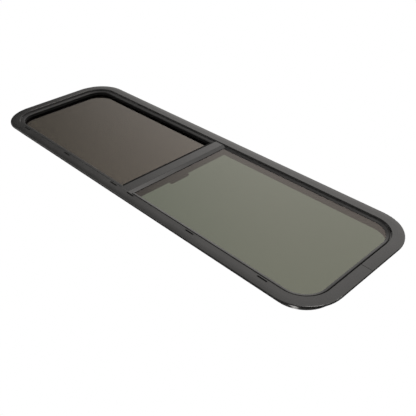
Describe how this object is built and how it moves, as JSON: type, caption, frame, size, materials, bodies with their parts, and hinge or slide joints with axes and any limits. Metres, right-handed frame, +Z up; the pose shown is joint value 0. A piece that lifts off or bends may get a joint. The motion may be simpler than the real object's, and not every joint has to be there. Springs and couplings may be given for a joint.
{
  "type": "caravan window",
  "caption": "Half-slider window with a rounded dark aluminium flange frame, a tinted fixed pane, a recessed sliding sash on the left and an insect screen behind it.",
  "frame": {"origin": "centre of the window, in the plane where the back of the flange lies on the wall", "axes": "+X along the window to the right seen from outside, +Z up, +Y from the outside into the room"},
  "size_m": [1, 0.0254, 0.3244],
  "materials": {
    "frame_coat": "satin powder coat",
    "foam": "matte closed-cell foam",
    "tinted_glass": "grey tinted toughened glass",
    "rubber": "matte extruded rubber",
    "flock": "flocked",
    "latch_plastic": "fine texture",
    "screen_coat": "satin",
    "screen_mesh": "woven mesh"
  },
  "bodies": {
    "root": {"outer_frame": "frame_coat", "flange_strip": "foam", "fixed_pane": "tinted_glass", "fixed_pane_gasket": "rubber", "sash_bead": "rubber", "sash_run_channel": "flock", "sash_stop_top": "rubber", "sash_stop_bottom": "rubber", "sash_pane": "tinted_glass", "sash_stile": "frame_coat", "latch_plate": "latch_plastic", "latch_body": "latch_plastic", "latch_lever": "latch_plastic", "centre_mullion": "frame_coat", "mullion_bead": "rubber", "mullion_fin": "flock", "mullion_pile": "flock", "screen_rail": "screen_coat", "screen_stile": "screen_coat", "screen_mesh": "screen_mesh", "screen_cord": "rubber"}
  },
  "joints": []
}
